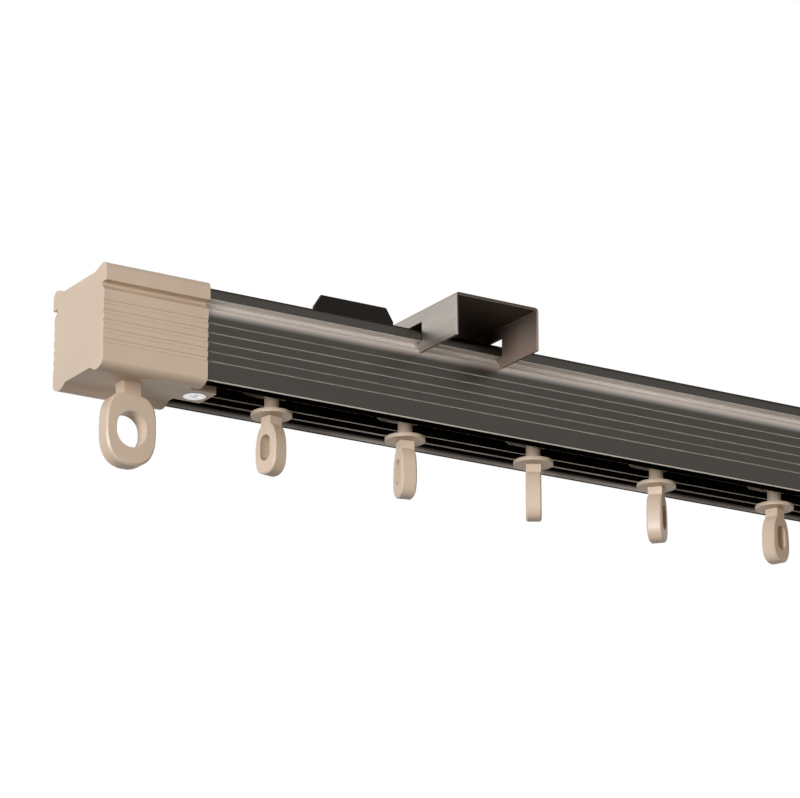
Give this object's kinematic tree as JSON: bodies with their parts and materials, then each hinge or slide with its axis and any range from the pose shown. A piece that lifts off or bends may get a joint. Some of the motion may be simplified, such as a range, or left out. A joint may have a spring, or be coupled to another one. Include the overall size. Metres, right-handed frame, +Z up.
{
  "type": "curtain track",
  "caption": "Straight aluminium curtain track with ribbed plastic end caps, wheeled ring gliders in its slot and two steel wall brackets with turning lock levers.",
  "frame": {"origin": "centre of the four wall screws, in the plane of the wall", "axes": "+X along the track to the right as seen from the room, +Y into the wall, +Z up"},
  "size_m": [0.5062, 0.0777, 0.078],
  "materials": {
    "dark_aluminium": "satin anodised or powder-coated dark grey-brown, with fine lengthwise lines",
    "sand_plastic": "moulded sand-coloured plastic, smooth and slightly glossy",
    "zinc_screw": "bright zinc plating",
    "bracket_steel": "dark satin coating on formed sheet steel",
    "plain_steel": "zinc-plated pressed and turned steel",
    "nylon": "milky white nylon"
  },
  "bodies": {
    "root": {"track_profile": "dark_aluminium", "end_cap_left": "sand_plastic", "end_cap_right": "sand_plastic", "cap_screw_left": "zinc_screw", "cap_screw_right": "zinc_screw", "cap_nut_left": "plain_steel", "cap_nut_right": "plain_steel", "wall_bracket_left": "bracket_steel", "wall_bracket_right": "bracket_steel", "lever_pin_left": "plain_steel", "lever_pin_right": "plain_steel"},
    "glider_1": {"carrier_1": "sand_plastic", "axle_1": "plain_steel"},
    "wheel_pair_1": {"wheels_1": "nylon"},
    "swivel_eye_1": {"eye_1": "sand_plastic"},
    "glider_2": {"carrier_2": "sand_plastic", "axle_2": "plain_steel"},
    "wheel_pair_2": {"wheels_2": "nylon"},
    "swivel_eye_2": {"eye_2": "sand_plastic"},
    "glider_3": {"carrier_3": "sand_plastic", "axle_3": "plain_steel"},
    "wheel_pair_3": {"wheels_3": "nylon"},
    "swivel_eye_3": {"eye_3": "sand_plastic"},
    "glider_4": {"carrier_4": "sand_plastic", "axle_4": "plain_steel"},
    "wheel_pair_4": {"wheels_4": "nylon"},
    "swivel_eye_4": {"eye_4": "sand_plastic"},
    "glider_5": {"carrier_5": "sand_plastic", "axle_5": "plain_steel"},
    "wheel_pair_5": {"wheels_5": "nylon"},
    "swivel_eye_5": {"eye_5": "sand_plastic"},
    "glider_6": {"carrier_6": "sand_plastic", "axle_6": "plain_steel"},
    "wheel_pair_6": {"wheels_6": "nylon"},
    "swivel_eye_6": {"eye_6": "sand_plastic"},
    "glider_7": {"carrier_7": "sand_plastic", "axle_7": "plain_steel"},
    "wheel_pair_7": {"wheels_7": "nylon"},
    "swivel_eye_7": {"eye_7": "sand_plastic"},
    "glider_8": {"carrier_8": "sand_plastic", "axle_8": "plain_steel"},
    "wheel_pair_8": {"wheels_8": "nylon"},
    "swivel_eye_8": {"eye_8": "sand_plastic"},
    "glider_9": {"carrier_9": "sand_plastic", "axle_9": "plain_steel"},
    "wheel_pair_9": {"wheels_9": "nylon"},
    "swivel_eye_9": {"eye_9": "sand_plastic"},
    "glider_10": {"carrier_10": "sand_plastic", "axle_10": "plain_steel"},
    "wheel_pair_10": {"wheels_10": "nylon"},
    "swivel_eye_10": {"eye_10": "sand_plastic"},
    "lever_left": {"lock_lever_left": "plain_steel"},
    "lever_right": {"lock_lever_right": "plain_steel"}
  },
  "joints": [
    {"name": "glider_1_slide", "type": "slide", "parent": "root", "child": "glider_1", "axis": [1, 0, 0], "range_m": [-0.011, 0.014]},
    {"name": "wheels_1_roll", "type": "hinge", "parent": "glider_1", "child": "wheel_pair_1", "pos_m": [-0.1937, -0.0455, -0.0334], "axis": [0, 1, 0], "continuous": true},
    {"name": "eye_1_swivel", "type": "hinge", "parent": "glider_1", "child": "swivel_eye_1", "pos_m": [-0.1937, -0.0455, -0.0425], "axis": [0, 0, 1], "continuous": true},
    {"name": "glider_2_slide", "type": "slide", "parent": "root", "child": "glider_2", "axis": [1, 0, 0], "range_m": [-0.014, 0.014]},
    {"name": "wheels_2_roll", "type": "hinge", "parent": "glider_2", "child": "wheel_pair_2", "pos_m": [-0.15066, -0.0455, -0.0334], "axis": [0, 1, 0], "continuous": true},
    {"name": "eye_2_swivel", "type": "hinge", "parent": "glider_2", "child": "swivel_eye_2", "pos_m": [-0.15066, -0.0455, -0.0425], "axis": [0, 0, 1], "continuous": true},
    {"name": "glider_3_slide", "type": "slide", "parent": "root", "child": "glider_3", "axis": [1, 0, 0], "range_m": [-0.014, 0.014]},
    {"name": "wheels_3_roll", "type": "hinge", "parent": "glider_3", "child": "wheel_pair_3", "pos_m": [-0.10761, -0.0455, -0.0334], "axis": [0, 1, 0], "continuous": true},
    {"name": "eye_3_swivel", "type": "hinge", "parent": "glider_3", "child": "swivel_eye_3", "pos_m": [-0.10761, -0.0455, -0.0425], "axis": [0, 0, 1], "continuous": true},
    {"name": "glider_4_slide", "type": "slide", "parent": "root", "child": "glider_4", "axis": [1, 0, 0], "range_m": [-0.014, 0.014]},
    {"name": "wheels_4_roll", "type": "hinge", "parent": "glider_4", "child": "wheel_pair_4", "pos_m": [-0.06457, -0.0455, -0.0334], "axis": [0, 1, 0], "continuous": true},
    {"name": "eye_4_swivel", "type": "hinge", "parent": "glider_4", "child": "swivel_eye_4", "pos_m": [-0.06457, -0.0455, -0.0425], "axis": [0, 0, 1], "continuous": true},
    {"name": "glider_5_slide", "type": "slide", "parent": "root", "child": "glider_5", "axis": [1, 0, 0], "range_m": [-0.014, 0.014]},
    {"name": "wheels_5_roll", "type": "hinge", "parent": "glider_5", "child": "wheel_pair_5", "pos_m": [-0.02152, -0.0455, -0.0334], "axis": [0, 1, 0], "continuous": true},
    {"name": "eye_5_swivel", "type": "hinge", "parent": "glider_5", "child": "swivel_eye_5", "pos_m": [-0.02152, -0.0455, -0.0425], "axis": [0, 0, 1], "continuous": true},
    {"name": "glider_6_slide", "type": "slide", "parent": "root", "child": "glider_6", "axis": [1, 0, 0], "range_m": [-0.014, 0.014]},
    {"name": "wheels_6_roll", "type": "hinge", "parent": "glider_6", "child": "wheel_pair_6", "pos_m": [0.02152, -0.0455, -0.0334], "axis": [0, 1, 0], "continuous": true},
    {"name": "eye_6_swivel", "type": "hinge", "parent": "glider_6", "child": "swivel_eye_6", "pos_m": [0.02152, -0.0455, -0.0425], "axis": [0, 0, 1], "continuous": true},
    {"name": "glider_7_slide", "type": "slide", "parent": "root", "child": "glider_7", "axis": [1, 0, 0], "range_m": [-0.014, 0.014]},
    {"name": "wheels_7_roll", "type": "hinge", "parent": "glider_7", "child": "wheel_pair_7", "pos_m": [0.06457, -0.0455, -0.0334], "axis": [0, 1, 0], "continuous": true},
    {"name": "eye_7_swivel", "type": "hinge", "parent": "glider_7", "child": "swivel_eye_7", "pos_m": [0.06457, -0.0455, -0.0425], "axis": [0, 0, 1], "continuous": true},
    {"name": "glider_8_slide", "type": "slide", "parent": "root", "child": "glider_8", "axis": [1, 0, 0], "range_m": [-0.014, 0.014]},
    {"name": "wheels_8_roll", "type": "hinge", "parent": "glider_8", "child": "wheel_pair_8", "pos_m": [0.10761, -0.0455, -0.0334], "axis": [0, 1, 0], "continuous": true},
    {"name": "eye_8_swivel", "type": "hinge", "parent": "glider_8", "child": "swivel_eye_8", "pos_m": [0.10761, -0.0455, -0.0425], "axis": [0, 0, 1], "continuous": true},
    {"name": "glider_9_slide", "type": "slide", "parent": "root", "child": "glider_9", "axis": [1, 0, 0], "range_m": [-0.014, 0.014]},
    {"name": "wheels_9_roll", "type": "hinge", "parent": "glider_9", "child": "wheel_pair_9", "pos_m": [0.15066, -0.0455, -0.0334], "axis": [0, 1, 0], "continuous": true},
    {"name": "eye_9_swivel", "type": "hinge", "parent": "glider_9", "child": "swivel_eye_9", "pos_m": [0.15066, -0.0455, -0.0425], "axis": [0, 0, 1], "continuous": true},
    {"name": "glider_10_slide", "type": "slide", "parent": "root", "child": "glider_10", "axis": [1, 0, 0], "range_m": [-0.014, 0.011]},
    {"name": "wheels_10_roll", "type": "hinge", "parent": "glider_10", "child": "wheel_pair_10", "pos_m": [0.1937, -0.0455, -0.0334], "axis": [0, 1, 0], "continuous": true},
    {"name": "eye_10_swivel", "type": "hinge", "parent": "glider_10", "child": "swivel_eye_10", "pos_m": [0.1937, -0.0455, -0.0425], "axis": [0, 0, 1], "continuous": true},
    {"name": "lever_left_turn", "type": "hinge", "parent": "root", "child": "lever_left", "pos_m": [-0.1406, -0.0215, -0.02085], "axis": [0, 0, 1], "range_deg": [-85, 0]},
    {"name": "lever_right_turn", "type": "hinge", "parent": "root", "child": "lever_right", "pos_m": [0.1406, -0.0215, -0.02085], "axis": [0, 0, 1], "range_deg": [0, 85]}
  ],
  "couplings": [
    {"joint": "wheels_1_roll", "follows": "glider_1_slide", "rad_per_m": 200},
    {"joint": "wheels_2_roll", "follows": "glider_2_slide", "rad_per_m": 200},
    {"joint": "wheels_3_roll", "follows": "glider_3_slide", "rad_per_m": 200},
    {"joint": "wheels_4_roll", "follows": "glider_4_slide", "rad_per_m": 200},
    {"joint": "wheels_5_roll", "follows": "glider_5_slide", "rad_per_m": 200},
    {"joint": "wheels_6_roll", "follows": "glider_6_slide", "rad_per_m": 200},
    {"joint": "wheels_7_roll", "follows": "glider_7_slide", "rad_per_m": 200},
    {"joint": "wheels_8_roll", "follows": "glider_8_slide", "rad_per_m": 200},
    {"joint": "wheels_9_roll", "follows": "glider_9_slide", "rad_per_m": 200},
    {"joint": "wheels_10_roll", "follows": "glider_10_slide", "rad_per_m": 200}
  ]
}
